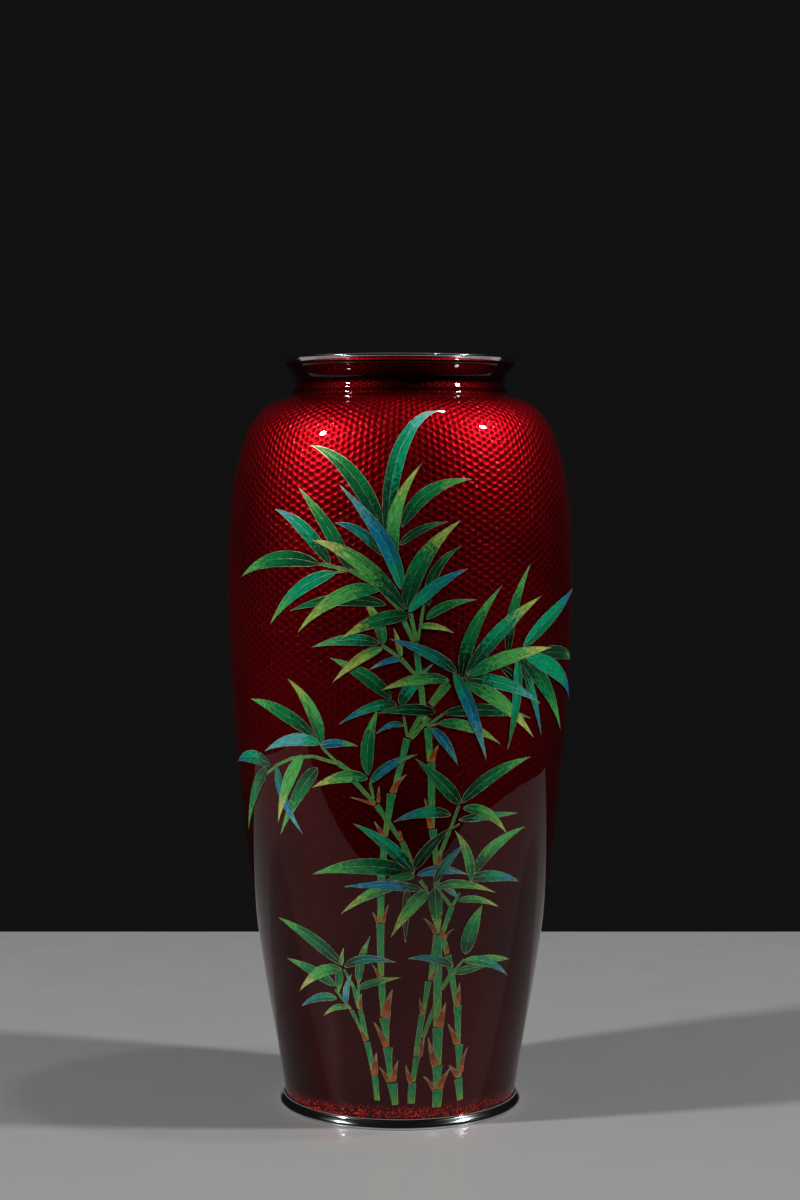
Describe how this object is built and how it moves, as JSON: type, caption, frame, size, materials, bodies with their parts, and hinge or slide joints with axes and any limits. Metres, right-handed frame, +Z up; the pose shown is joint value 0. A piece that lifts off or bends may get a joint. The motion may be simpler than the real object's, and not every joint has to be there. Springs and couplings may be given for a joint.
{
  "type": "cloisonne vase",
  "caption": "Tall shouldered vase with a short neck: translucent red enamel over embossed silver foil on copper, inlaid bamboo in silver wire, silver rings at mouth and foot.",
  "frame": {"origin": "centre of the foot ring's underside, on the surface the vase stands on", "axes": "+Z up along the vase's axis of revolution; -Y towards the viewer, through the middle of the bamboo"},
  "size_m": [0.1126, 0.1133, 0.245],
  "materials": {
    "copper": "spun copper sheet, bare where the enamels leave it",
    "silver_foil": "thin silver foil stamped with a honeycomb of round dimples",
    "red_enamel": "translucent ruby red enamel, polished glassy",
    "counter_enamel": "dark opaque enamel, fire polished",
    "silver_ring": "polished silver ring",
    "leaf_enamel": "opaque leaf enamels from dark green to pale blue and yellow, wired in silver, polished flush",
    "culm_enamel": "opaque culm enamels from green to straw with brown sheaths, wired in silver, polished flush"
  },
  "bodies": {
    "root": {"copper_body": "copper", "silver_foil": "silver_foil", "ground_enamel": "red_enamel", "lining_enamel": "counter_enamel", "base_enamel": "counter_enamel", "mouth_rim": "silver_ring", "foot_ring": "silver_ring", "culm_1": "culm_enamel", "culm_2_1": "culm_enamel", "culm_2_2": "culm_enamel", "culm_2_3": "culm_enamel", "culm_3": "culm_enamel", "culm_4_1": "culm_enamel", "culm_4_2": "culm_enamel", "culm_5_1": "culm_enamel", "culm_5_2": "culm_enamel", "spray_centre_1": "leaf_enamel", "spray_centre_2": "leaf_enamel", "spray_centre_3": "leaf_enamel", "spray_centre_low_1": "leaf_enamel", "spray_centre_low_2": "leaf_enamel", "spray_crown_1": "leaf_enamel", "spray_crown_2": "leaf_enamel", "spray_crown_3": "leaf_enamel", "spray_foot_left_1": "leaf_enamel", "spray_foot_left_2": "leaf_enamel", "spray_foot_left_3": "leaf_enamel", "spray_foot_right_1": "leaf_enamel", "spray_foot_right_2": "leaf_enamel", "spray_left_1": "leaf_enamel", "spray_left_2": "leaf_enamel", "spray_left_3": "leaf_enamel", "spray_left_4": "leaf_enamel", "spray_left_5": "leaf_enamel", "spray_left_6": "leaf_enamel", "spray_low_right_1": "leaf_enamel", "spray_low_right_2": "leaf_enamel", "spray_mid_right_1": "leaf_enamel", "spray_mid_right_2": "leaf_enamel", "spray_mid_right_3": "leaf_enamel", "spray_mid_right_4": "leaf_enamel", "spray_middle_1": "leaf_enamel", "spray_middle_2": "leaf_enamel", "spray_middle_left_1": "leaf_enamel", "spray_middle_left_2": "leaf_enamel", "spray_middle_left_3": "leaf_enamel", "spray_right_1": "leaf_enamel", "spray_right_2": "leaf_enamel", "spray_right_3": "leaf_enamel", "spray_right_4": "leaf_enamel", "spray_upper_1": "leaf_enamel", "spray_upper_2": "leaf_enamel", "spray_upper_3": "leaf_enamel", "spray_upper_left_1": "leaf_enamel", "spray_upper_left_2": "leaf_enamel"}
  },
  "joints": []
}
